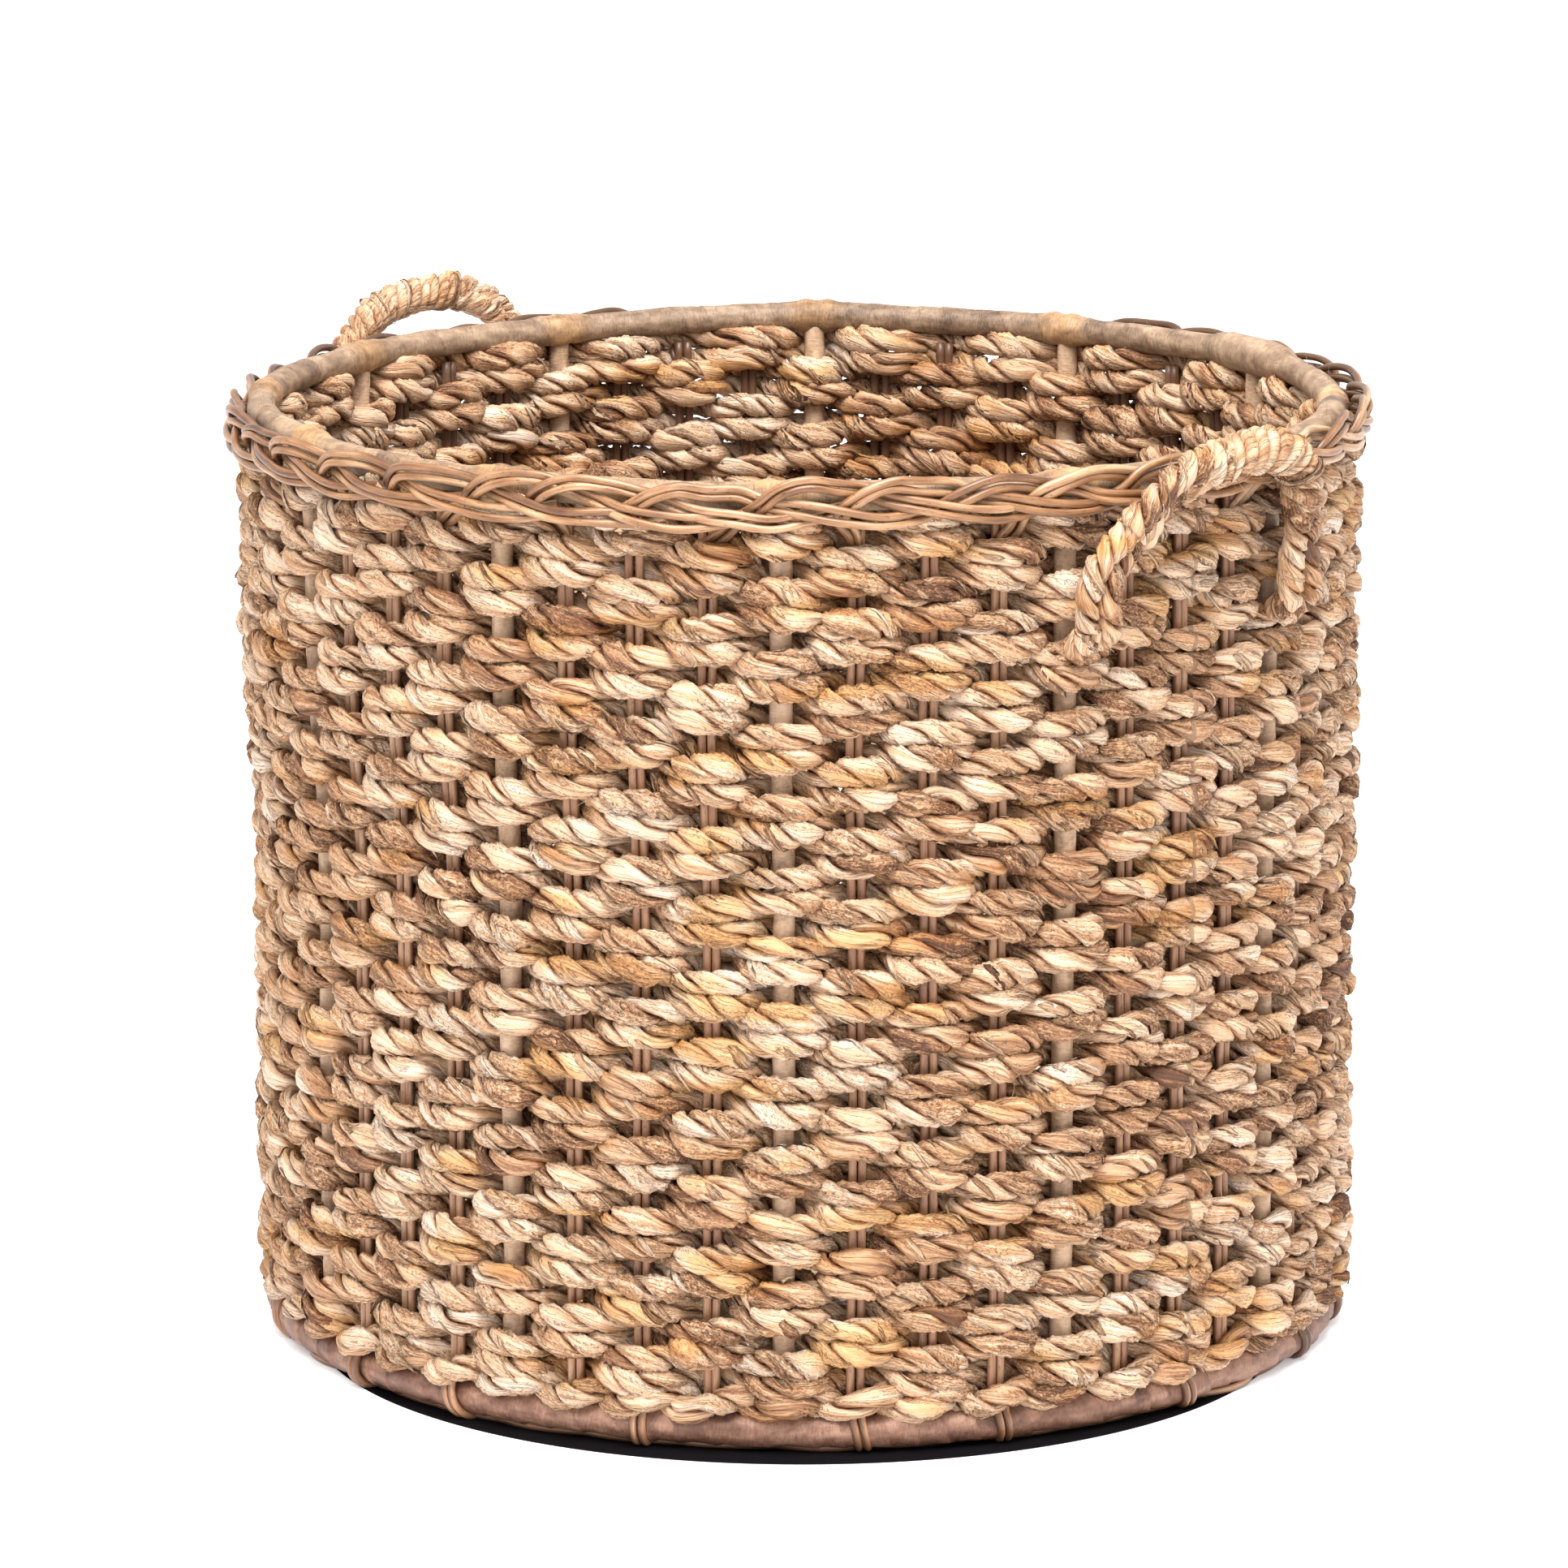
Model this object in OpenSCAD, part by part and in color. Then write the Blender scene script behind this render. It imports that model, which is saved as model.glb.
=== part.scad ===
// Round storage basket: twisted seagrass rope woven in double rows round a wrapped cane frame.
// Origin at the centre of the foot, on the floor. +Z is up, and the two rope handles face +X and -X.

/* [Frame] */
// Radius from the axis to the middle of the uprights and of both hoops
frame_r = 217; // [200:1:230]
// Radius of the wrapped top hoop
top_hoop_r = 5.9; // [4:0.1:7]
// Radius of the wrapped base hoop
base_hoop_r = 6; // [4:0.1:7]
// Radius of a wrapped frame post
post_r = 4.5; // [3.5:0.1:4.8]
// Number of frame posts
post_count = 12; // [12]
// Radius of one rattan stake
stake_r = 1.8; // [1.4:0.1:2]

/* [Weave] */
// Number of double rows of rope in the wall
row_count = 25; // [25]
// Height from one double row to the next
row_pitch = 13.9; // [13:0.1:14.5]
// Thickness of the rope, measured through the wall
rope_t = 7.4; // [6:0.1:8]

/* [Rim and foot] */
// Outer radius of the rattan border round the rim
rim_r = 232.6; // [230:0.1:233]
// Height of the rattan border round the rim
rim_h = 19; // [14:1:20]
// Height of the rattan border under the base hoop
foot_h = 3; // [2:0.1:5]

/* [Handles] */
// Radius of the handle's rope
handle_r = 7; // [5:0.1:7.2]
// Radius of the strand-wound grip
grip_r = 9; // [8:0.1:9.2]
// Half the distance between a handle's two legs
handle_half_w = 57; // [55:1:60]
// Height of the legs below the round of the arch
leg_h = 12; // [12:1:20]
// Outward lean of the upright handle, in degrees
handle_lean = 10; // [9:0.5:14]

/* [Hidden] */
$fn = 48;
gap = 0.1;                 // clear space between pieces that lie against each other
uprights = post_count * 4; // each bay holds one post and three pairs of stakes
step = 360 / uprights;
bay = 360 / post_count;
post_a = bay / 2;          // the first post's angle, half a bay round from +X
pair_half = stake_r + 0.05;
wave = post_r + rope_t / 2 + 0.4; // how far a rope swings to pass an upright
flat_a = 1.15;                    // half the angle over which it runs flat past an upright
base_hoop_z = foot_h + base_hoop_r + gap;
twine_z = base_hoop_z + base_hoop_r + 0.3;
twine_h = 9;
twine_half_t = 8;
rows_z = twine_z + twine_h + gap;
wall_top = rows_z + row_count * row_pitch;
top_hoop_z = wall_top + top_hoop_r + 0.3;
rim_z = top_hoop_z - 12.5;
anchor_row = 22;                         // the handles are tied in at this row
anchor_z = rows_z + (anchor_row - 0.5) * row_pitch;
hinge_x = 231.5;
barrel_r = handle_r + 0.2;
barrel_l = 12.6;
joint_gap = 0.3;
anchor_r = 6;
grip_a = 62;                             // the grip covers this angle on each side of the top of the arch
mat_r = 206.5;
mat_z = 1.6;
mat_h = 14;
hub_r = 28;
hub_tube_r = 4;
coil_r = hub_r - hub_tube_r - 0.3;
spoke_z = mat_z + mat_h / 2;
spoke_r = 4;
spoke_r0 = hub_r + hub_tube_r + 0.3;
spoke_r1 = frame_r - base_hoop_r - 0.3;
tie_r = 1.1;
tie_ring_r = base_hoop_r + tie_r + 0.05;
pair_r1 = frame_r - tie_ring_r - tie_r - 0.3;
tie_open_a = 142;                        // each tie starts here, and stops as far short of upright on the other side

function pad2(k) = k < 10 ? str("0", k) : str(k);

// --- the path of a rope round the wall ---------------------------------------------------------------

// The rope's middle line: flat where it passes an upright, straight from each upright to the next.
// side is 1 where the row passes outside the posts and -1 where it passes inside them.
function rope_line(side) =
    [for (i = [0:uprights - 1], turn = [-flat_a, flat_a])
        let (a = post_a + i * step + turn, r = frame_r + side * (i % 2 == 0 ? wave : -wave))
        [r * cos(a), r * sin(a)]];
function unit_normal(p, q) = let (d = q - p) [d.y, -d.x] / norm(d);
// The same line moved off mm to its outer side, with mitred corners.
function rope_edge(line, off) =
    [for (i = [0:len(line) - 1])
        let (n = len(line),
             before = unit_normal(line[(i + n - 1) % n], line[i]),
             after = unit_normal(line[i], line[(i + 1) % n]))
        line[i] + (before + after) * off / (1 + before * after)];

module rope_ring(side, z, h)
    translate([0, 0, z])
        linear_extrude(h)
            difference() {
                polygon(rope_edge(rope_line(side), rope_t / 2));
                polygon(rope_edge(rope_line(side), -rope_t / 2));
            }

// One double row of rope, as one band.
module weft_row(k)
    color(k % 3 == 0 ? "tan" : k % 3 == 1 ? "burlywood" : "wheat")
        rope_ring(k % 2 == anchor_row % 2 ? -1 : 1, rows_z + (k - 1) * row_pitch, row_pitch - gap);

// --- frame -------------------------------------------------------------------------------------------

module hoop(r, z)
    translate([0, 0, z])
        rotate_extrude($fn = 128)
            translate([frame_r, 0])
                circle(r);

module top_hoop()
    color("tan") hoop(top_hoop_r, top_hoop_z);

module base_hoop()
    color("rosybrown") hoop(base_hoop_r, base_hoop_z);

module upright_rod(a, off, r, z0, z1)
    rotate(a)
        translate([frame_r, off, z0])
            cylinder(r = r, h = z1 - z0);

module frame_post(k)
    color("rosybrown")
        upright_rod(post_a + (k - 1) * bay, 0, post_r, base_hoop_z + base_hoop_r, top_hoop_z - top_hoop_r);

module stake_pair(a)
    for (off = [-pair_half, pair_half])
        upright_rod(a, off, stake_r, twine_z, wall_top);

// A quarter of the wall's stakes: three bays of three pairs.
module rattan_stakes(k)
    color("peru")
        for (b = [0:2], j = [1:3])
            stake_pair(post_a + ((k - 1) * 3 + b) * bay + j * step);

// Two ropes twined round the foot of every upright, as one chain of eyes.
module bottom_twine()
    color("burlywood")
        difference() {
            translate([0, 0, twine_z])
                linear_extrude(twine_h)
                    difference() {
                        circle(frame_r + twine_half_t, $fn = 144);
                        circle(frame_r - twine_half_t, $fn = 144);
                    }
            for (k = [0:post_count - 1]) {
                upright_rod(post_a + k * bay, 0, post_r + gap, twine_z - 1, twine_z + twine_h + 1);
                for (j = [1:3], off = [-pair_half, pair_half])
                    upright_rod(post_a + k * bay + j * step, off, stake_r + gap, twine_z - 1, twine_z + twine_h + 1);
            }
        }

// --- rim and foot ------------------------------------------------------------------------------------

// The stakes' upper ends, laid over each other in a rolled border outside the top hoop.
module rim_border()
    color("peru")
        difference() {
            translate([0, 0, rim_z])
                rotate_extrude($fn = 128)
                    polygon([
                        [frame_r + 1, 4.5], [rim_r - 3, 0], [rim_r - 0.8, 2], [rim_r, 5],
                        [rim_r, rim_h - 6], [rim_r - 2, rim_h - 1.5], [rim_r - 5, rim_h], [frame_r + 1, rim_h - 2]]);
            hoop(top_hoop_r + gap, top_hoop_z);
            cylinder(r = frame_r + 2.2, h = 2 * top_hoop_z);
            translate([0, 0, rim_z - 1])
                cylinder(r = frame_r + wave + rope_t / 2 + gap, h = top_hoop_z - top_hoop_r - rim_z + 1 + gap);
        }

// The stakes' lower ends, turned under the base hoop.
module foot_border()
    color("peru")
        difference() {
            rotate_extrude($fn = 128)
                polygon([
                    [frame_r - 5, 0], [frame_r + 4, 0], [frame_r + 6, 1.2], [frame_r + 6, foot_h - 0.6],
                    [frame_r + 5, foot_h], [frame_r - 6, foot_h], [frame_r - 7, foot_h - 0.6], [frame_r - 7, 1.2]]);
            base_tie_rings(tie_r + gap);
        }

module base_tie_rings(r)
    for (k = [0:post_count - 1], j = k % 2 == 0 ? [1, 3] : [2])
        rotate(post_a + k * bay + j * step)
            translate([frame_r, 0, base_hoop_z])
                rotate([90, 0, 0])
                    for (off = [-pair_half, pair_half])
                        translate([0, 0, off])
                            rotate([0, 0, tie_open_a])
                                rotate_extrude(angle = 360 - 2 * (tie_open_a - 90))
                                    translate([tie_ring_r, 0])
                                        circle(r, $fn = 24);

// Stake ends turned round the base hoop: two pairs in one bay, one in the next.
module base_ties()
    color("sandybrown")
        base_tie_rings(tie_r);

// --- base --------------------------------------------------------------------------------------------

module spoke(a, r, off, r0, r1)
    rotate(a)
        translate([r0, off, spoke_z])
            rotate([0, 90, 0])
                cylinder(r = r, h = r1 - r0);

module base_spokes()
    color("rosybrown")
        for (k = [0:post_count - 1]) {
            spoke(post_a + k * bay, spoke_r, 0, spoke_r0, spoke_r1);
            for (off = [-pair_half, pair_half])
                spoke(k * bay, stake_r, off, spoke_r0, pair_r1);
        }

// The channels the spokes lie in: round for the thick ones, square for the pairs.
module spoke_channels()
    for (k = [0:post_count - 1]) {
        spoke(post_a + k * bay, spoke_r + gap, 0, hub_r, spoke_r1 + 5);
        rotate(k * bay)
            translate([hub_r, -pair_half - stake_r - gap, spoke_z - stake_r - gap])
                cube([spoke_r1 + 5 - hub_r, 2 * (pair_half + stake_r + gap), 2 * (stake_r + gap)]);
    }

module base_hub()
    color("rosybrown")
        translate([0, 0, spoke_z])
            rotate_extrude($fn = 96)
                translate([hub_r, 0])
                    circle(hub_tube_r);

// The woven floor: rope laid over and under the spokes.
module base_mat()
    color("burlywood")
        difference() {
            translate([0, 0, mat_z])
                difference() {
                    cylinder(r = mat_r, h = mat_h, $fn = 144);
                    translate([0, 0, -1])
                        cylinder(r = hub_r + hub_tube_r + 0.2, h = mat_h + 2, $fn = 72);
                }
            spoke_channels();
        }

// The round coil of rope that closes the middle of the floor.
module base_centre_coil()
    color("tan")
        translate([0, 0, mat_z + 2])
            cylinder(r = coil_r, h = mat_h - 4, $fn = 72);

// --- handles -----------------------------------------------------------------------------------------

// Puts a handle drawn at the origin, arch upwards and facing +X, on its hinge line. side is 1 for +X and -1 for -X.
module at_handle(side)
    rotate(side > 0 ? 0 : 180)
        translate([hinge_x, 0, anchor_z])
            rotate([0, handle_lean, 0])
                children();

module arch(r, half_angle)
    translate([0, 0, leg_h])
        rotate([90, 0, 90])
            rotate([0, 0, 90 - half_angle])
                rotate_extrude(angle = 2 * half_angle)
                    translate([handle_half_w, 0])
                        circle(r);

// The rope: two legs and the arch between them, with the turned-in foot of each leg on the hinge line.
module handle_core(side)
    color("wheat")
        at_handle(side) {
            arch(handle_r, 90);
            for (y = [-handle_half_w, handle_half_w]) {
                translate([0, y, 0])
                    cylinder(r = handle_r, h = leg_h);
                translate([0, y - barrel_l / 2, 0])
                    rotate([-90, 0, 0])
                        cylinder(r = barrel_r, h = barrel_l);
            }
        }

// The grip: a strand wound round the top of the arch.
module handle_grip(side)
    color("navajowhite")
        at_handle(side)
            difference() {
                arch(grip_r, grip_a);
                arch(handle_r + gap, 89);
            }

// Where the rope goes into the wall in front of a post, one at each leg.
module handle_anchors(side)
    color("burlywood")
        rotate(side > 0 ? 0 : 180)
            difference() {
                for (y = [-handle_half_w, handle_half_w])
                    translate([frame_r * cos(post_a), y, anchor_z])
                        rotate([0, 90, 0])
                            cylinder(r = anchor_r, h = hinge_x - barrel_r - frame_r * cos(post_a));
                for (a = [-post_a, post_a])
                    upright_rod(a, 0, post_r + gap, anchor_z - 10, anchor_z + 10);
                translate([hinge_x, -80, anchor_z])
                    rotate([-90, 0, 0])
                        cylinder(r = barrel_r + joint_gap, h = 160);
            }

top_hoop();
base_hoop();
for (k = [1:post_count])
    frame_post(k);
for (k = [1:4])
    rattan_stakes(k);
for (k = [1:row_count])
    weft_row(k);
bottom_twine();
rim_border();
foot_border();
base_mat();
base_centre_coil();
base_spokes();
base_hub();
base_ties();
handle_core(1);  // handle_right_core
handle_grip(1);  // handle_right_grip
handle_anchors(1);  // handle_right_anchors
handle_core(-1);  // handle_left_core
handle_grip(-1);  // handle_left_grip
handle_anchors(-1);  // handle_left_anchors
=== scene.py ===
"""The looks of the seagrass storage basket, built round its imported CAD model.

Everything is in metres, in the CAD frame: +Z up, the handles at +X and -X, the origin under the foot. The CAD
nodes give the places and sizes. Each rope is swept here as its twisted strands, each rattan rod and wrapped
hoop as itself, and every piece carries the coordinates that its material's fibres follow.
"""

import math

import bpy
import numpy as np
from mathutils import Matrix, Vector

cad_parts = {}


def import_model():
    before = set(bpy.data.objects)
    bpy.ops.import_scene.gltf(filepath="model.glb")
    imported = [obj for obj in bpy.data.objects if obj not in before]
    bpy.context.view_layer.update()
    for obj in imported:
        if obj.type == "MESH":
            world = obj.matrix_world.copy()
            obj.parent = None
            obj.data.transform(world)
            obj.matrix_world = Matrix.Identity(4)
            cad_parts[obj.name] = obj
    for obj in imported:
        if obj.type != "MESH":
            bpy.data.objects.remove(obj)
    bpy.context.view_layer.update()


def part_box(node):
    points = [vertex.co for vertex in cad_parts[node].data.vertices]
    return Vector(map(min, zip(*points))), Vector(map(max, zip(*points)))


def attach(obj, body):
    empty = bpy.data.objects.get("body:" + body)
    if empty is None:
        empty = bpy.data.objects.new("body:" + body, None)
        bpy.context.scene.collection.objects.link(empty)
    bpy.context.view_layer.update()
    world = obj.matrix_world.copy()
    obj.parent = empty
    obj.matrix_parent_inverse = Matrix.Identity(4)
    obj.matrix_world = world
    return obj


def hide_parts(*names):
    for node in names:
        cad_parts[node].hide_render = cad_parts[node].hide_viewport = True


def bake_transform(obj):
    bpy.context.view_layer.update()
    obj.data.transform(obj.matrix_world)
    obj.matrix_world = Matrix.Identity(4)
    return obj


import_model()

MM = 0.001
TAU = 2 * math.pi
UP = (0, 0, 1)
NOISE_ROOM = 900  # mm of noise in which strands and rods get their own places


def facing(angle):
    """The directions outwards and anticlockwise at an angle round the basket."""
    c, s = math.cos(angle), math.sin(angle)
    return np.array([c, s, 0]), np.array([-s, c, 0])


def circle(count):
    """Angles evenly round a circle."""
    return np.arange(count) * TAU / count


# The front of the basket, from +X: the right handle is at the front right, and the camera stands before it.
FRONT = math.radians(-43.2)
FORWARD, RIGHT = facing(FRONT)

# --- sizes and places, from the CAD nodes ---


def size_of(node):
    low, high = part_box(node)
    return np.array(low), np.array(high)


POSTS = 12
BAY = TAU / POSTS
STEP = BAY / 4  # from one upright to the next, which is a post or a pair of stakes
FIRST_POST = BAY / 2
ROWS = 25
HANDLE_ROW = 22

top_low, top_high = size_of("top_hoop")
base_low, base_high = size_of("base_hoop")
TOP_TUBE = (top_high[2] - top_low[2]) / 2
BASE_TUBE = (base_high[2] - base_low[2]) / 2
FRAME_R = top_high[0] - TOP_TUBE
TOP_Z = (top_high[2] + top_low[2]) / 2
BASE_Z = (base_high[2] + base_low[2]) / 2
post_low, post_high = size_of("frame_post_01")
POST_R = (post_high[0] - post_low[0]) / 2
STAKE_R = 1.8 * MM
PAIR_HALF = 1.85 * MM
TWINE_LOW, TWINE_HIGH = size_of("bottom_twine")
ROW_LOW = size_of("weft_row_01")[0][2]
ROW_PITCH = size_of("weft_row_02")[0][2] - ROW_LOW
WALL_TOP = size_of(f"weft_row_{ROWS:02d}")[1][2]
FOOT_LOW, FOOT_HIGH = size_of("foot_border")
MAT_LOW, MAT_HIGH = size_of("base_mat")
hub_low, hub_high = size_of("base_hub")
HUB_TUBE = (hub_high[2] - hub_low[2]) / 2
HUB_R = hub_high[0] - HUB_TUBE


# --- smooth noise ---


def ripple(seed, along, short, long, size, loop=None):
    """Smooth noise along a line, with waves from short to long (mm). On a loop it joins up with itself."""
    rng = np.random.default_rng(seed)
    waves = 12
    total = np.zeros_like(along)
    for _ in range(waves):
        wave = rng.uniform(short, long) * MM
        if loop:
            wave = loop / max(1, round(loop / wave))
        total += np.cos(TAU * (along / wave + rng.random()))
    return total * size * math.sqrt(2 / waves)


def unit(v):
    return v / np.linalg.norm(v, axis=-1, keepdims=True)


def smooth(knots, count):
    """A smooth curve through the knots."""
    knots = np.asarray(knots, float)
    far = np.concatenate([[0], np.cumsum(np.linalg.norm(np.diff(knots, axis=0), axis=1))])
    slope = np.gradient(knots, far, axis=0)
    t = np.linspace(0, far[-1], count)
    i = np.clip(np.searchsorted(far, t, side="right") - 1, 0, len(far) - 2)
    h = (far[i + 1] - far[i])[:, None]
    u = (t - far[i])[:, None] / h
    ahead = u * u * (3 - 2 * u)
    pull = slope[i] * h * u * (1 - u) ** 2 - slope[i + 1] * h * u * u * (1 - u)
    return knots[i] * (1 - ahead) + knots[i + 1] * ahead + pull


# --- mesh building ---


def placed(name, data):
    """A new object in the scene."""
    thing = bpy.data.objects.new(name, data)
    bpy.context.scene.collection.objects.link(thing)
    return thing


class Mesh:
    """Collects swept tubes into one mesh, with what its material reads: where the fibres run, a tone for each
    strand or strip, how rough it is, and how deep it lies in a groove, which is darkened as painted shade."""

    def __init__(self):
        self.points, self.faces, self.fibre = [], [], []
        self.marks = {"tone": [], "rough": [], "deep": []}
        self.count = 0

    def sweep(self, rings, fibre, closed, tone=0.0, rough=0.0, deep=0.0):
        """rings is (n, m, 3): m points round each of n rings. The rest are numbers, or arrays that fit it."""
        n, m, _ = rings.shape
        index = self.count + np.arange(n * m).reshape(n, m)
        here, after = (index, np.roll(index, -1, 0)) if closed else (index[:-1], index[1:])
        quads = np.stack([here, np.roll(here, -1, 1), np.roll(after, -1, 1), after], -1).reshape(-1, 4)
        a, b, c = (rings.reshape(-1, 3)[quads[:, i] - self.count] for i in (0, 1, 2))
        centre = rings.mean(1)
        middle = np.repeat(centre if closed else centre[:-1], m, 0)
        outward = np.einsum("ij,ij->", np.cross(b - a, c - a), a - middle)
        ends = [] if closed else [index[:1, ::-1], index[-1:]]
        if outward < 0:
            quads = quads[:, ::-1]
            ends = [e[:, ::-1] for e in ends]
        self.faces += [quads, *ends]
        self.points.append(rings.reshape(-1, 3))
        self.fibre.append(np.broadcast_to(fibre, rings.shape).reshape(-1, 3))
        for name, value in (("tone", tone), ("rough", rough), ("deep", deep)):
            self.marks[name].append(np.broadcast_to(value, (n, m)).reshape(-1))
        self.count += n * m

    def make(self, name, material, slot, *nodes, body="basket"):
        """Make the object, which stands in for its CAD nodes and rides on a body."""
        mesh = bpy.data.meshes.new(name)
        points = settled(np.concatenate(self.points))
        mesh.vertices.add(len(points))
        mesh.vertices.foreach_set("co", points.astype(np.float32).ravel())
        corners = np.concatenate([f.ravel() for f in self.faces]).astype(np.int32)
        sizes = np.concatenate([np.full(len(f), f.shape[1]) for f in self.faces])
        mesh.loops.add(len(corners))
        mesh.loops.foreach_set("vertex_index", corners)
        mesh.polygons.add(len(sizes))
        mesh.polygons.foreach_set("loop_start", (np.cumsum(sizes) - sizes).astype(np.int32))
        mesh.polygons.foreach_set("use_smooth", np.ones(len(sizes), bool))
        fibre = mesh.attributes.new("fibre", "FLOAT_VECTOR", "POINT")
        fibre.data.foreach_set("vector", np.concatenate(self.fibre).astype(np.float32).ravel())
        for mark, parts in self.marks.items():
            attribute = mesh.attributes.new(mark, "FLOAT", "POINT")
            attribute.data.foreach_set("value", np.concatenate(parts).astype(np.float32))
        mesh.update(calc_edges=True)
        mesh.materials.append(material)
        piece = placed(name, mesh)
        if body:
            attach(piece, body)
        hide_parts(*nodes)
        return piece


def settled(points):
    """The basket isn't quite round: low down, its left side stands in by a few mm. It ends at the ground."""
    points = np.maximum(points, [-np.inf, -np.inf, 0.05 * MM])
    side = np.clip((1 - points @ RIGHT / FRAME_R) / 2, 0, 1)
    low = np.clip((300 * MM - points[:, 2]) / (90 * MM), 0, 1)
    low = low * low * (3 - 2 * low)
    return points + RIGHT * (4.6 * MM * side**2 * low)[:, None]


def frames(path, up, closed):
    """Tangent, side and upward directions along a path, with the upward one as near to up as it can be."""
    tangent = unit(np.roll(path, -1, 0) - np.roll(path, 1, 0) if closed else np.gradient(path, axis=0))
    side = unit(np.cross(tangent, np.broadcast_to(up, path.shape)))
    return tangent, side, unit(np.cross(side, tangent))


def run(path, closed):
    """Length along a path at each of its points, and its whole length."""
    after = np.roll(path, -1, 0) if closed else path[1:]
    steps = np.linalg.norm(after - (path if closed else path[:-1]), axis=1)
    along = np.concatenate([[0], np.cumsum(steps)])
    return (along[:-1], along[-1]) if closed else (along, along[-1])


def around(side, lift, angle):
    """Directions across a path, at angles round it."""
    return np.cos(angle)[..., None] * side[:, None] + np.sin(angle)[..., None] * lift[:, None]


def fibre_coords(angle, along, radius, place):
    """Texture coordinates in mm that run along a strand, set apart from other strands' by place."""
    angle, along = np.broadcast_arrays(angle, along)
    return np.stack([np.cos(angle) * radius, np.sin(angle) * radius, along], -1) / MM + place


def rod(mesh, path, radius, up, seed, sides=12):
    """A plain round rod of rattan along a path."""
    rng = np.random.default_rng(seed)
    along, _ = run(path, False)
    _, side, lift = frames(path, up, False)
    angle = circle(sides)
    r = radius * (1 + ripple(seed, along, 8, 60, 0.02))
    rings = path[:, None] + around(side, lift, angle) * r[:, None, None]
    fibre = fibre_coords(angle, along[:, None], radius, rng.random(3) * NOISE_ROOM)
    tone = rng.normal(0, 0.8) + ripple(seed + 1, along, 30, 200, 0.4)[:, None]
    # painted shade: the side of the rod that faces away from up, with its edges, is marked deep
    mesh.sweep(rings, fibre, False, tone, deep=np.clip(0.7 - 1.5 * np.sin(angle), 0, 1)[None, :])


# --- rope ---


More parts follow.
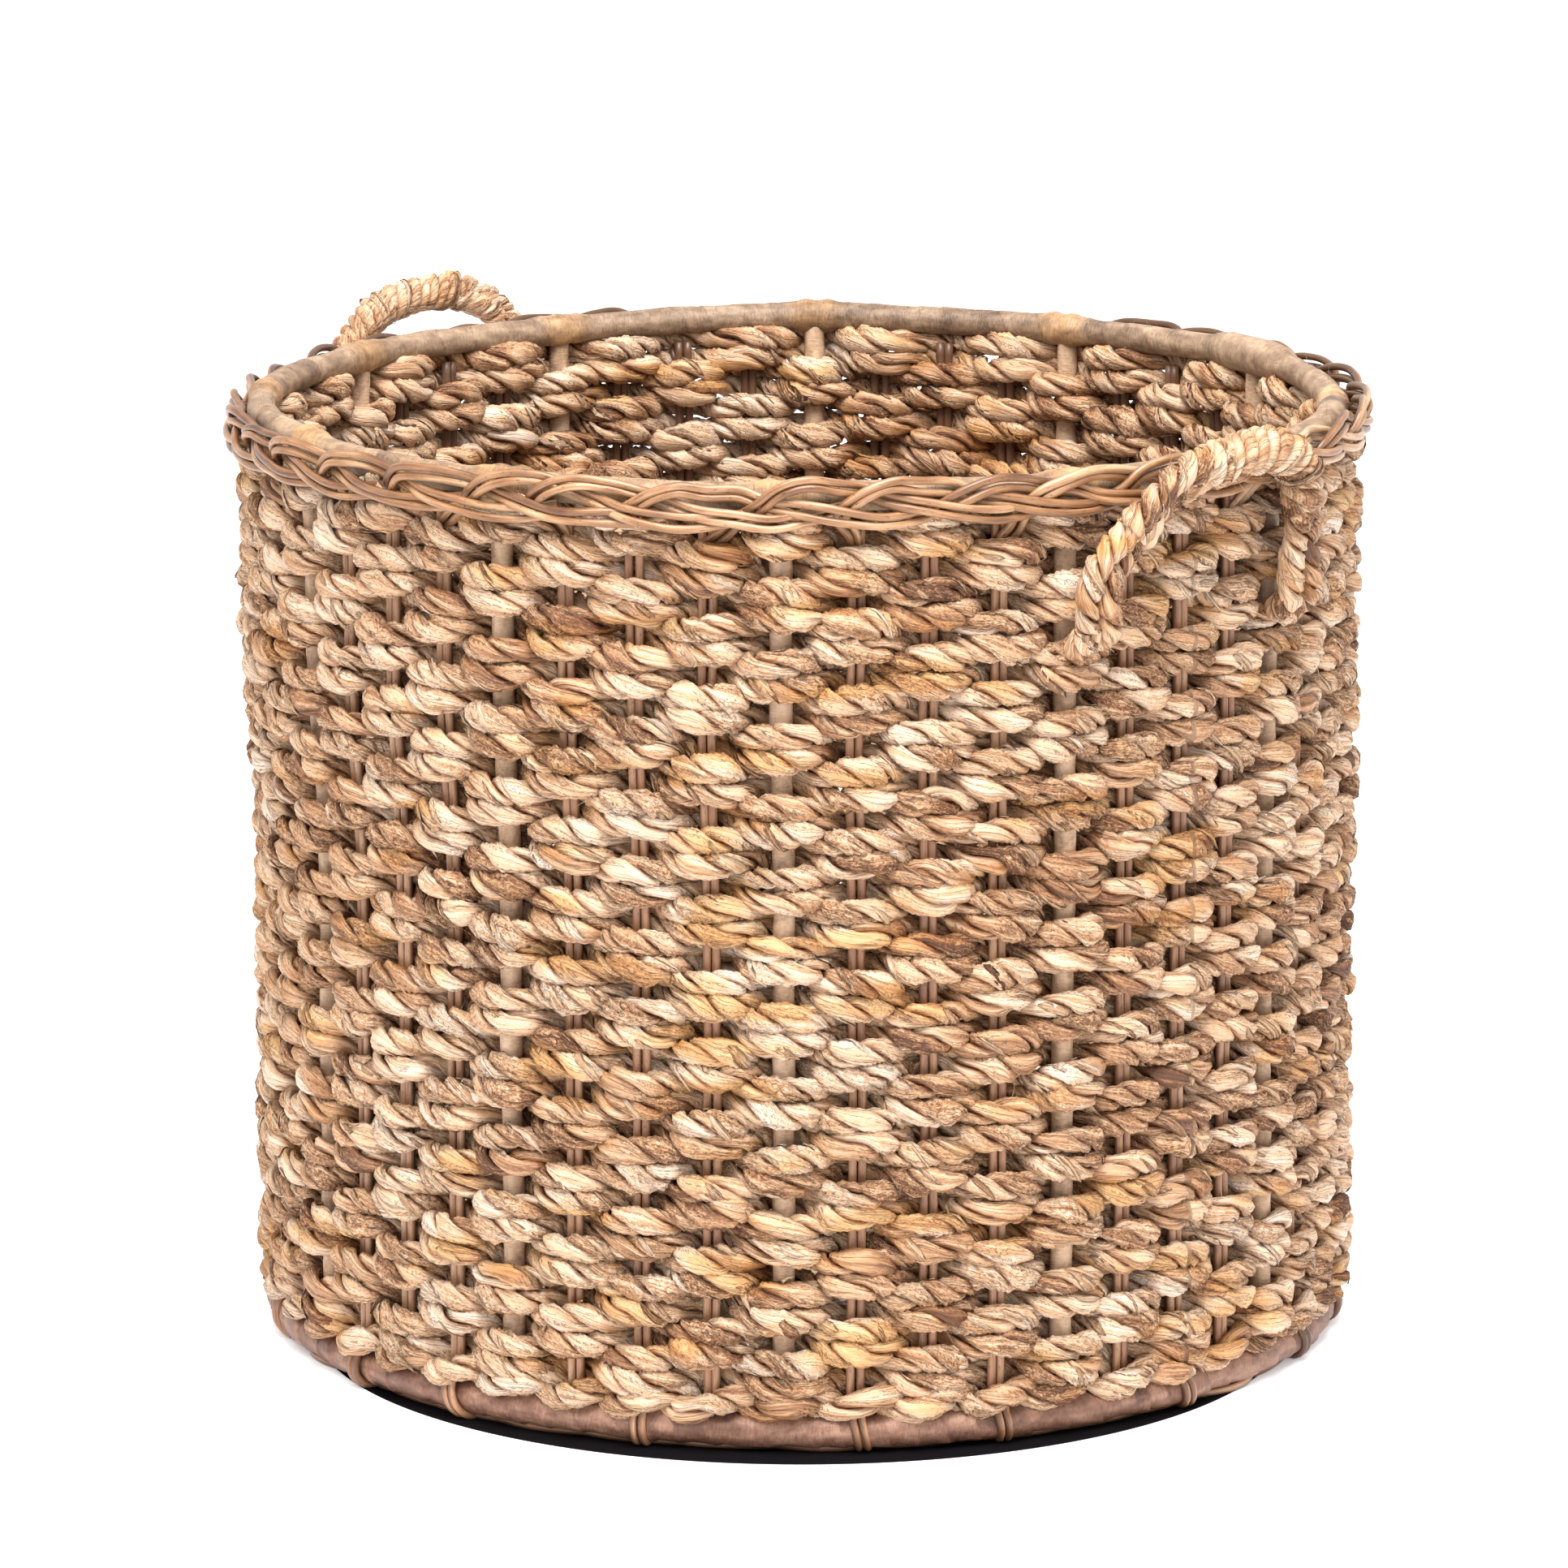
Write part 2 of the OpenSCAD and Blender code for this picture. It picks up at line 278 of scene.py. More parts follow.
class Rope:
    """A rope of strands laid round each other along a path. squeeze gives its width and height, as shares of
    a round rope's, and hand which way the strands turn."""

    def __init__(self, path, radius, pitch, seed, up=UP, closed=True, squeeze=None, strands=2, hand=-1):
        self.path, self.radius, self.seed, self.closed, self.strands = path, radius, seed, closed, strands
        self.tangent, self.side, self.lift = frames(path, up, closed)
        self.along, self.length = run(path, closed)
        rng = np.random.default_rng(seed)
        loop = self.length if closed else None
        turns = round(self.length / pitch) if closed else self.length / pitch
        uneven = ripple(seed + 1, self.along, 22, 110, 0.45, loop)
        self.angle = hand * TAU * turns * self.along / self.length + rng.random() * TAU + uneven
        self.squeeze = np.ones((len(path), 2)) if squeeze is None else squeeze
        self.places = rng.random((strands, 3)) * NOISE_ROOM
        self.fat = [1 + ripple(seed + 7 + i, self.along, 14, 60, 0.11, loop) for i in range(strands)]
        mood = ripple(seed + 27, self.along, 60, 260, 0.9, loop)
        self.shades = [mood + ripple(seed + 17 + i, self.along, 25, 160, 0.6, loop) for i in range(strands)]

    def surface(self, strand, index, angle, lift=0.0):
        """Points on a strand: index picks rings, angle goes round the strand, and lift stands off it."""
        phase = self.angle[index] + strand * TAU / self.strands
        fat = self.fat[strand][index]
        # the strand's own leaves make shallow ridges along it
        own = angle + 0.9 * phase
        s = self.along[index] / (9 * MM)
        ridge = 1 + 0.035 * np.sin(3 * own + 0.9 * np.sin(s + strand)) + 0.02 * np.sin(5 * own - s)
        if self.strands == 2:
            u = 0.47 * self.radius + np.cos(angle) * (0.56 * self.radius * fat * ridge + lift)
            v = np.sin(angle) * (0.90 * self.radius * fat * ridge + lift)
            across = np.cos(phase) * u - np.sin(phase) * v
            height = np.sin(phase) * u + np.cos(phase) * v
        else:
            # more strands lie side by side round the rope, each a band that follows its round
            deep = (0.56 - 0.04 * self.strands) * self.radius
            u = self.radius - deep + np.cos(angle) * (deep * fat * ridge + lift)
            round_to = phase + np.sin(angle) * (1.04 * math.pi / self.strands * fat)
            across, height = np.cos(round_to) * u, np.sin(round_to) * u
        across, height = across * self.squeeze[index, 0], height * self.squeeze[index, 1]
        return self.path[index] + self.side[index] * across[..., None] + self.lift[index] * height[..., None]

    def draw(self, mesh, sides=10, sunk=None):
        """sunk, from 0 to 1, is how deep each ring lies in the weave and how much painted shade it gets."""
        n = len(self.path)
        index = np.broadcast_to(np.arange(n)[:, None], (n, sides))
        angle = np.broadcast_to(circle(sides), (n, sides))
        for strand in range(self.strands):
            rings = self.surface(strand, index, angle)
            phase = self.angle + strand * TAU / self.strands
            own = angle + 0.9 * phase[:, None]
            fibre = fibre_coords(own, self.along[:, None], 0.62 * self.radius, self.places[strand])
            # each hump of the strand has its own tone, and some humps are rough and crumpled
            hump = np.floor((phase + math.pi) / TAU).astype(int)
            hump -= hump.min()
            mix = np.abs(((phase + math.pi) / TAU) % 1 - 0.5) * 2
            rng = np.random.default_rng(self.seed + 31 + strand)
            tones = rng.normal(0, 1, hump.max() + 1)
            crumpled = rng.random(hump.max() + 1) ** 2.2
            tone = tones[hump] * (1 - mix**4) + self.shades[strand]
            rough = np.clip(crumpled[hump] * (1.25 - mix**2) + 0.18 * self.shades[strand], 0, 1)
            middle = rings.mean(1, keepdims=True)
            crumple = rng.normal(0, 1, (n, sides, 1)) * (0.06 + 0.30 * rough[:, None, None]) * MM
            crumple += rng.normal(0, 1, (n, 1, 1)) * (0.16 * rough[:, None, None]) * MM
            off_axis = np.linalg.norm(rings - self.path[:, None], axis=-1) / self.radius
            rings = rings + unit(rings - middle) * crumple
            if not self.closed:
                ends = np.minimum(np.arange(n), np.arange(n)[::-1])
                shrink = np.clip(ends / 2, 0.3, 1)[:, None, None]
                rings = self.path[:, None] + (rings - self.path[:, None]) * shrink
            # painted shade, with brown dirt, in the grooves between strands and where the ring is sunk in the
            # weave
            groove = np.clip((0.64 - off_axis / self.squeeze.max(1)[:, None]) / 0.17, 0, 1)
            if sunk is not None:
                groove = np.maximum(groove, sunk[:, None])
            mesh.sweep(rings, fibre, self.closed, tone[:, None], rough[:, None], groove)

    def leaves(self, mesh, count, seed, size=1.0, keep=None, lift=1.0):
        """Flat ends of leaf that lie along the strands and lift off them."""
        rng = np.random.default_rng(seed)
        n = len(self.path)
        step = self.length / n
        for _ in range(count):
            strand = int(rng.integers(self.strands))
            start = int(rng.integers(n))
            if keep is not None and not keep[start]:
                continue
            rings = max(5, int(rng.uniform(6, 18) * MM * size / step))
            index = start + np.arange(rings)
            index = index % n if self.closed else np.clip(index, 0, n - 1)
            t = np.linspace(0, 1, rings)
            drift = rng.normal(0, 0.55) + rng.normal(0, 0.6) * t
            rise = (0.15 + lift * rng.exponential(0.4) * np.clip(t - 0.5, 0, 1) ** 1.6 * 5) * MM
            half = rng.uniform(1.0, 2.6) * MM * size * np.clip(np.minimum(t, 1 - t) * 5, 0.12, 1)
            half = half * (1 + rng.normal(0, 0.15, rings)) / self.radius
            edge = np.stack([-half, 0 * half, half, 0 * half], -1) * 1.3
            thick = np.array([0.0, 0.16, 0.0, -0.16]) * MM
            cup = np.array([1, 0, 1, 0]) * rng.normal(0, 0.4) * MM * t[:, None]
            crumple = rng.normal(0, 0.18, (rings, 1)) * MM
            up = rise[:, None] + thick + cup + crumple
            points = self.surface(strand, np.repeat(index[:, None], 4, 1), drift[:, None] + edge, up)
            fibre = fibre_coords(edge * 2, t[:, None] * rings * step, self.radius, rng.random(3) * NOISE_ROOM)
            mesh.sweep(points, fibre, False, rng.normal(0.4, 1.1), rng.random())

    def hairs(self, mesh, count, seed, keep=None, length=(2, 9)):
        """Thin loose fibres that stand off the rope."""
        rng = np.random.default_rng(seed)
        n = len(self.path)
        for _ in range(count):
            start = int(rng.integers(n))
            if keep is not None and not keep[start]:
                continue
            strand = int(rng.integers(self.strands))
            at = self.surface(strand, np.array([start]), np.array([rng.normal(0, 0.7)]))[0]
            out = unit(at - self.path[start])
            way = out * rng.uniform(0.1, 0.8) + self.tangent[start] * rng.normal(0, 1)
            way = unit(way + rng.normal(0, 0.35, 3))
            bend = unit(rng.normal(0, 1, 3)) * rng.uniform(0.3, 1.4)
            long, thick = rng.uniform(*length) * MM, rng.uniform(0.08, 0.2) * MM
            hair(mesh, at - way * MM, way, bend, long, thick, rng)


def hair(mesh, at, way, bend, length, radius, rng):
    """One loose fibre, which starts off one way and bends to another."""
    t = np.linspace(0, 1, 6)[:, None]
    path = at + (way * t + bend * t * t * 0.5) * length
    along, _ = run(path, False)
    _, side, lift = frames(path, unit(np.cross(way, bend) + 1e-6), False)
    angle = circle(3)
    r = radius * (1 - 0.75 * t)
    rings = path[:, None] + around(side, lift, angle) * r[:, None]
    fibre = fibre_coords(angle, along[:, None], radius, rng.random(3) * NOISE_ROOM)
    mesh.sweep(rings, fibre, False, rng.normal(0.6, 0.8))


# --- materials ---


class Nodes:
    """A short way to write a material's nodes."""

    def __init__(self, name):
        self.material = bpy.data.materials.new(name)
        self.material.use_nodes = True
        self.tree = self.material.node_tree
        self.tree.nodes.clear()
        self.shader = self.add("ShaderNodeBsdfPrincipled")
        self.put(self.add("ShaderNodeOutputMaterial"), Surface=self.shader.outputs["BSDF"])

    def add(self, kind, **settings):
        node = self.tree.nodes.new(kind)
        for key, value in settings.items():
            setattr(node, key, value)
        return node

    def put(self, node, **inputs):
        """Give inputs of a node, which are named with _ for each space, a value or a link."""
        for name, value in inputs.items():
            self.set(node.inputs[name.replace("_", " ")], value)

    def set(self, socket, value):
        if isinstance(value, bpy.types.NodeSocket):
            self.tree.links.new(value, socket)
        else:
            socket.default_value = value

    def look(self, colour, roughness, specular=0.5):
        """Set what the shader always gets, and return the material."""
        self.put(self.shader, Base_Color=colour, Roughness=roughness, Specular_IOR_Level=specular)
        return self.material

    def attribute(self, name, kind="Fac"):
        return self.add("ShaderNodeAttribute", attribute_name=name).outputs[kind]

    def noise(self, vector, scale, detail=2.0, rough=0.5, distortion=0.0):
        node = self.add("ShaderNodeTexNoise")
        self.put(node, Vector=vector, Scale=scale, Detail=detail, Roughness=rough, Distortion=distortion)
        return node.outputs["Fac"]

    def grain(self, vector, across, along, detail=2.0, rough=0.5, distortion=0.0):
        """Noise drawn out one way: across and along are about how many waves the vector's unit has."""
        node = self.add("ShaderNodeMapping", vector_type="POINT")
        self.put(node, Vector=vector, Scale=(across, across, along))
        return self.noise(node.outputs["Vector"], 1.0, detail, rough, distortion)

    def vary(self, value, noise, size):
        """A value moved up and down by a noise."""
        return self.math("MULTIPLY_ADD", self.math("SUBTRACT", noise, 0.5), size, value)

    def math(self, operation, a, b=0.0, c=0.0):
        node = self.add("ShaderNodeMath", operation=operation)
        for socket, value in zip(node.inputs, (a, b, c)):
            self.set(socket, value)
        return node.outputs[0]

    def spread(self, value, low, high, to_low=0.0, to_high=1.0):
        node = self.add("ShaderNodeMapRange")
        self.put(node, Value=value, From_Min=low, From_Max=high, To_Min=to_low, To_Max=to_high)
        return node.outputs["Result"]

    def ramp(self, value, stops):
        node = self.add("ShaderNodeValToRGB")
        self.put(node, Fac=value)
        ramp = node.color_ramp
        while len(ramp.elements) < len(stops):
            ramp.elements.new(0.5)
        for element, (place, colour) in zip(ramp.elements, stops):
            element.position = place
            element.color = (*colour, 1)
        return node.outputs["Color"]

    def mix(self, amount, a, b, blend="MIX"):
        node = self.add("ShaderNodeMix", data_type="RGBA", blend_type=blend)
        self.set(node.inputs[0], amount)
        for socket, value in ((node.inputs[6], a), (node.inputs[7], b)):
            self.set(socket, (*value, 1) if isinstance(value, tuple) else value)
        return node.outputs[2]

    def bump(self, height, strength, distance, normal=None):
        node = self.add("ShaderNodeBump")
        self.put(node, Height=height, Strength=strength, Distance=distance)
        if normal is not None:
            self.put(node, Normal=normal)
        return node.outputs["Normal"]


# dried seagrass, from brown to pale cream
SEAGRASS = (
    (0.00, (0.120, 0.043, 0.016)), (0.18, (0.300, 0.130, 0.052)), (0.36, (0.510, 0.276, 0.137)),
    (0.54, (0.668, 0.430, 0.262)), (0.74, (0.755, 0.548, 0.390)), (1.00, (0.815, 0.690, 0.590)),
)  # fmt: skip


def seagrass(name, light=0.0, gold=0.0):
    """Dried seagrass rope: leaves from pale cream to brown, with fine lines along them and a low sheen."""
    m = Nodes(name)
    fibre = m.attribute("fibre", "Vector")
    tone, rough, deep = (m.attribute(mark) for mark in ("tone", "rough", "deep"))
    place = m.add("ShaderNodeNewGeometry").outputs["Position"]
    patches = m.noise(place, 11.0, 2.0, 0.55)
    leaves = m.grain(fibre, 0.42, 0.035, 2.0, 0.55, 0.4)
    streaks = m.grain(fibre, 1.5, 0.05, 3.0, 0.6, 0.2)
    lines = m.grain(fibre, 4.2, 0.10, 2.0, 0.6)
    cracks = m.grain(fibre, 1.1, 0.55, 4.0, 0.7, 1.0)
    value = m.math("MULTIPLY_ADD", tone, 0.085, 0.56 + light)
    for noise, size in ((patches, 0.70), (leaves, 1.15), (streaks, 0.50)):
        value = m.vary(value, noise, size)
    value = m.math("MULTIPLY_ADD", rough, -0.26, value)
    torn = m.math("MULTIPLY", m.math("SUBTRACT", cracks, 0.5), rough)
    value = m.math("MULTIPLY_ADD", torn, 2.2, value)
    colour = m.ramp(value, SEAGRASS)
    # golden patches, wider than they are high
    golden = m.spread(m.grain(place, 20, 60, 1.0), 0.54 - gold, 0.66 - gold)
    colour = m.mix(m.math("MULTIPLY", golden, 0.80), colour, (0.88, 0.69, 0.36), "MULTIPLY")
    # painted shade and brown dirt where the strands meet, and where the rope lies deep in the weave
    colour = m.mix(m.spread(deep, 0.1, 1.0, 0.0, 0.92), colour, (0.40, 0.24, 0.14), "MULTIPLY")
    # thin dark edges between the leaves that make up a strand, along the fibres
    seams = m.grain(fibre, 0.60, 0.035, 1.0, 0.5, 0.3)
    seam = m.math("ABSOLUTE", m.math("SUBTRACT", seams, 0.5), 0.0)
    shade = m.spread(seam, 0.0, 0.03, 0.40, 1.0)
    shade = m.math("MULTIPLY", m.spread(lines, 0.30, 0.60, 0.62, 1.06), shade)
    grey = m.add("ShaderNodeCombineColor")
    m.put(grey, Red=shade, Green=shade, Blue=shade)
    colour = m.mix(1.0, colour, grey.outputs["Color"], "MULTIPLY")
    gloss = m.math("MULTIPLY_ADD", rough, 0.35, m.spread(streaks, 0.3, 0.7, 0.50, 0.34))
    wrinkle = m.grain(fibre, 0.9, 0.30, 2.0, 0.5, 0.8)
    normal = m.bump(wrinkle, 0.30, 0.0009)
    normal = m.bump(cracks, m.math("MULTIPLY", rough, 0.9), 0.0012, normal)
    normal = m.bump(m.spread(seam, 0.0, 0.05), 0.7, 0.0005, normal)
    normal = m.bump(streaks, 0.50, 0.0007, normal)
    m.put(m.shader, Normal=m.bump(lines, 0.50, 0.0003, normal))
    return m.look(colour, gloss)


def rattan(name, dark, mid, light, gloss=0.36):
    """Peeled rattan rod: light brown with fine long grain and darker specks, and painted shade on its deep
    side.
    """
    m = Nodes(name)
    fibre = m.attribute("fibre", "Vector")
    tone = m.attribute("tone")
    grain = m.grain(fibre, 2.2, 0.05, 3.0, 0.6)
    cloud = m.grain(fibre, 0.3, 0.06)
    specks = m.grain(fibre, 1.6, 0.5)
    value = m.vary(m.vary(m.math("MULTIPLY_ADD", tone, 0.14, 0.5), grain, 0.8), cloud, 1.1)
    colour = m.ramp(value, [(0.05, dark), (0.5, mid), (0.95, light)])
    colour = m.mix(m.spread(specks, 0.62, 0.72, 0.0, 0.7), colour, tuple(c * 0.35 for c in dark))
    # painted shade on the side of the rod marked deep
    deep = m.math("MULTIPLY", m.attribute("deep"), 0.85)
    colour = m.mix(deep, colour, tuple(c * 0.6 for c in dark))
    m.put(m.shader, Normal=m.bump(grain, 0.25, 0.0002, m.bump(cloud, 0.12, 0.0006)))
    return m.look(colour, m.spread(grain, 0.3, 0.7, gloss - 0.08, gloss + 0.12), 0.55)


def bark(name, dark, mid, light, gloss=0.45):
    """Cane wrapped in a bark strip: a papery brown skin with fine lines and wrinkles across the cane."""
    m = Nodes(name)
    fibre = m.attribute("fibre", "Vector")
    tone, golden = m.attribute("tone"), m.attribute("rough")  # a wrap's rough mark says how golden it is
    fine = m.grain(fibre, 0.35, 3.0, 3.0, 0.65, 0.3)
    cloud = m.grain(fibre, 0.22, 0.10, 3.0, 0.55)
    wrinkle = m.grain(fibre, 0.30, 0.9, 3.0, 0.6, 0.8)
    value = m.math("MULTIPLY_ADD", tone, 0.10, 0.5)
    for noise, size in ((cloud, 1.2), (fine, 0.55), (wrinkle, 0.6)):
        value = m.vary(value, noise, size)
    colour = m.ramp(value, [(0.08, dark), (0.5, mid), (0.92, light)])
    # the golden mark: the lashings' own yellow, and on the top hoop's front half painted light
    colour = m.mix(m.math("MULTIPLY", golden, 0.9), colour, (1.36, 1.16, 0.80), "MULTIPLY")
    m.put(m.shader, Normal=m.bump(fine, 0.35, 0.0003, m.bump(wrinkle, 0.5, 0.0008)))
    return m.look(colour, m.spread(fine, 0.3, 0.7, gloss - 0.08, gloss + 0.15), 0.45)


ROPE = seagrass("seagrass_rope")
HANDLE_ROPE = seagrass("handle_rope", light=-0.07, gold=-0.05)
RATTAN = rattan("rattan", (0.130, 0.054, 0.026), (0.360, 0.172, 0.086), (0.550, 0.335, 0.195))
RIM_RATTAN = rattan("rim_rattan", (0.080, 0.028, 0.010), (0.285, 0.132, 0.054), (0.560, 0.350, 0.195), 0.30)
POST_BARK = bark("post_bark", (0.210, 0.130, 0.080), (0.500, 0.322, 0.198), (0.670, 0.490, 0.345))
TOP_BARK = bark("top_hoop_bark", (0.090, 0.050, 0.028), (0.250, 0.160, 0.100), (0.440, 0.315, 0.210))
BASE_BARK = bark("base_hoop_bark", (0.080, 0.034, 0.022), (0.215, 0.102, 0.064), (0.385, 0.222, 0.150))


# --- the wall ---

ROPE_R = 5.25 * MM
ROPE_PITCH = 31 * MM
POST_SWING = 7.9 * MM  # how far a row swings to pass a post
PAIR_SWING = 5.9 * MM  # and to pass a pair of stakes
WALL_ROUND = TAU * FRAME_R


def weave(angle):
    """The weave's wave: 1 at the posts and the middle pairs of stakes, -1 at the other pairs."""
    u = (angle - FIRST_POST) / STEP
    return (np.cos(math.pi * u) - 0.11 * np.cos(3 * math.pi * u)) / 0.89


def swing(angle):
    """How far a row swings out or in at an angle."""
    near_post = (1 + np.cos(POSTS * (angle - FIRST_POST))) / 2
    return PAIR_SWING + (POST_SWING - PAIR_SWING) * near_post**2


def ring(radius, angle, z):
    """Points at angles round the basket's axis."""
    return np.stack([radius * np.cos(angle), radius * np.sin(angle), z + 0 * angle], -1)


def wall_row(number):
    """One double row: two ropes that pass together over one upright and under the next."""
    side = -1 if number % 2 == HANDLE_ROW % 2 else 1
    z = ROW_LOW + (number - 0.5) * ROW_PITCH
    angle = circle(680)
    along = angle * FRAME_R
    seed = 100 * number
    wave = weave(angle) * side
    radius = FRAME_R + wave * swing(angle) * (1 + ripple(seed, along, 20, 140, 0.06, WALL_ROUND))
    crossing = np.clip(np.abs(wave), 0, 1) ** 1.5
    middle = z + ripple(seed + 1, along, 40, 400, 0.55 * MM, WALL_ROUND)
    spread = (3.85 + 1.15 * crossing) * MM
    tall = 0.86 + 0.14 * crossing
    thick = 0.94 - 0.18 * crossing
    mesh = Mesh()
    for up in (-1, 1):
        rope_seed = seed + 10 * (up + 2)
        wander = ripple(rope_seed, along, 18, 90, 0.40 * MM, WALL_ROUND)
        size = 1 + ripple(rope_seed + 1, along, 30, 300, 0.06, WALL_ROUND)
        out = ripple(rope_seed + 2, along, 18, 90, 0.45 * MM, WALL_ROUND)
        path = ring(radius + out, angle, middle + up * spread + wander)
        rope = Rope(path, ROPE_R, ROPE_PITCH, rope_seed, squeeze=np.stack([thick * size, tall * size], -1))
        # the row gets painted shade where it passes through the middle of the wall
        rope.draw(mesh, sunk=0.40 * np.clip(1 - np.abs(radius - FRAME_R) / (4 * MM), 0, 1))
        rope.leaves(mesh, 90, rope_seed + 5)
        rope.leaves(mesh, 10, rope_seed + 8, size=1.7, lift=1.7)
        rope.hairs(mesh, 36, rope_seed + 6)
    mesh.make(f"rope_row_{number:02d}", ROPE, "seagrass_rope", f"weft_row_{number:02d}")


for row in range(1, ROWS + 1):
    wall_row(row)


def bottom_twine():
    """Two ropes twined round each other at the foot of the wall, with an upright in every eye."""
    angle = circle(760)
    along = angle * FRAME_R
    z = (TWINE_LOW[2] + TWINE_HIGH[2]) / 2
    mesh = Mesh()
    for side in (-1, 1):
        u = (angle - FIRST_POST) / STEP
        wave = np.cos(math.pi * u) * side
        radius = FRAME_R + wave * 6.6 * MM
        height = z - 0.6 * MM + side * np.sin(math.pi * u) * 3.0 * MM
        seed = 9000 + side * 50
        height = height + ripple(seed + 4, along, 30, 200, 0.5 * MM, WALL_ROUND)
        path = ring(radius + ripple(seed, along, 20, 120, 0.4 * MM, WALL_ROUND), angle, height)
        squeeze = np.tile((0.85, 0.95), (len(angle), 1))
        rope = Rope(path, ROPE_R * 1.04, ROPE_PITCH, seed, squeeze=squeeze)
        rope.draw(mesh)
        rope.leaves(mesh, 80, seed + 5)
        rope.hairs(mesh, 30, seed + 6)
    mesh.make("rope_bottom_twine", ROPE, "seagrass_rope", "bottom_twine")


bottom_twine()


# --- the cane frame ---


def wrapped(mesh, path, radius, up, strip, seed, closed, sides=20, ridge=0.4 * MM, swell=0.0, golden=0.0):
    """A cane wrapped in a strip whose turns overlap. swell and golden say where it's thicker and yellower."""
    along, length = run(path, closed)
    loop = length if closed else None
    _, side, lift = frames(path, up, closed)
    turns = round(length / strip) if closed else length / strip
    angle = np.broadcast_to(circle(sides), (len(path), sides))
    uneven = ripple(seed, along, 25, 120, 0.22, loop)
    lay = (turns * along / length + uneven)[:, None] + angle / TAU
    lap = lay % 1
    number = np.floor(lay).astype(int)
    number -= number.min()
    rng = np.random.default_rng(seed)
    tones = rng.normal(0, 1, number.max() + 1)
    heights = rng.normal(0, 0.12, len(tones))
    edge = np.clip(lap * 7, 0, 1)
    step = ridge * (lap * 0.9 - 0.45) * edge + ridge * heights[number]
    lumps = ripple(seed + 3, along, 12, 90, 0.03, loop) + swell
    r = radius * (1 + lumps)[:, None] + step
    fibre = fibre_coords(angle, along[:, None], radius, rng.random(3) * NOISE_ROOM)
    tone = tones[number] - 0.9 * (lap < 0.08)
    gold = np.broadcast_to(golden, along.shape)[:, None]
    mesh.sweep(path[:, None] + around(side, lift, angle) * r[..., None], fibre, closed, tone, gold)


def hoop(node, radius, z, material, seed, strip, swell=0.0, splice=None, ridge=0.4 * MM):
    """A wrapped hoop: swell is how much thicker it is at the posts, and splice is where its ends overlap."""
    mesh = Mesh()
    angle = circle(1300)
    along = angle * FRAME_R
    wander = ripple(seed + 5, along, 100, 600, 0.6 * MM, WALL_ROUND)
    height = z + ripple(seed + 6, along, 100, 600, 0.35 * MM, WALL_ROUND)
    off_post = FRAME_R * np.abs((angle - FIRST_POST + BAY / 2) % BAY - BAY / 2)
    lashing = np.exp(-((off_post / (11 * MM)) ** 4)) * bool(swell)
    thicker = swell * lashing * (1 + 0.35 * np.sin(along / (1.6 * MM)))
    golden = 0.8 * lashing
    if splice is not None:
        off_splice = FRAME_R * np.abs((angle - splice + math.pi) % TAU - math.pi)
        thicker = np.maximum(thicker, 0.36 * np.exp(-((off_splice / (26 * MM)) ** 8)))
        height = height + 2.2 * MM * np.exp(-((off_splice / (70 * MM)) ** 2))
        # painted light: the front half of the top hoop, which faces the lamps, is made paler and yellower
        golden = golden * (off_splice > 40 * MM) + 0.4 * (1 + np.cos(angle - FRONT)) / 2
    path = ring(FRAME_R + wander, angle, height)
    wrapped(mesh, path, radius, UP, strip, seed, True, 22, ridge, thicker, golden)
    if splice is not None:
        rng = np.random.default_rng(seed + 90)
        for _ in range(110):
            at = path[rng.integers(len(path))]
            out = unit(at * np.array([1, 1, 0])) * rng.normal(0, 0.8) + np.array([0, 0, 1.0])
            way = unit(unit(out) + rng.normal(0, 0.5, 3))
            bend = unit(rng.normal(0, 1, 3)) * rng.uniform(0.3, 1.5)
            start = at + unit(out) * radius * 0.95
            hair(mesh, start, way, bend, rng.uniform(2, 8) * MM, rng.uniform(0.08, 0.16) * MM, rng)
    mesh.make(f"{node}_wrapped", material, f"{node}_wrap", node)


hoop("top_hoop", TOP_TUBE * 0.98, TOP_Z, TOP_BARK, 11, 19 * MM, swell=0.19, splice=math.radians(75))
hoop("base_hoop", BASE_TUBE * 1.10, BASE_Z - 0.4 * MM, BASE_BARK, 12, 15 * MM, ridge=0.9 * MM)


def post(number):
    angle = FIRST_POST + (number - 1) * BAY
    z = np.linspace(BASE_Z + BASE_TUBE * 0.8, TOP_Z - TOP_TUBE * 0.3, 260)
    seed = 500 + number
    radius = FRAME_R + ripple(seed, z, 120, 400, 0.4 * MM)
    path = np.stack([radius * math.cos(angle), radius * math.sin(angle), z], -1)
    mesh = Mesh()
    wrapped(mesh, path, POST_R * 0.96, (1, 0, 0), 14 * MM, seed, False, sides=16, ridge=0.3 * MM)
    node = f"frame_post_{number:02d}"
    mesh.make(f"post_{number:02d}_wrapped", POST_BARK, "wrapped_post", node)


for number in range(1, POSTS + 1):
    post(number)


def stakes(quarter):
    """The stakes of a quarter of the wall, which has three bays of three pairs."""
    mesh = Mesh()
    for i in range(9):
        angle = FIRST_POST + (3 * (quarter - 1) + i // 3) * BAY + (i % 3 + 1) * STEP
        out, across = facing(angle)
        z = np.linspace(BASE_Z + BASE_TUBE + 4 * MM, WALL_TOP - 3 * MM, 70)
        for side in (-1, 1):
            seed = 700 + quarter * 100 + i * 2 + side
            drift = side * PAIR_HALF + ripple(seed, z, 60, 300, 0.25 * MM)
            path = out * FRAME_R + across * drift[:, None] + np.array(UP) * z[:, None]
            rod(mesh, path, STAKE_R, out, seed, sides=10)
    mesh.make(f"stakes_{quarter}_rods", RATTAN, "rattan", f"rattan_stakes_{quarter}")


for quarter in (1, 2, 3, 4):
    stakes(quarter)


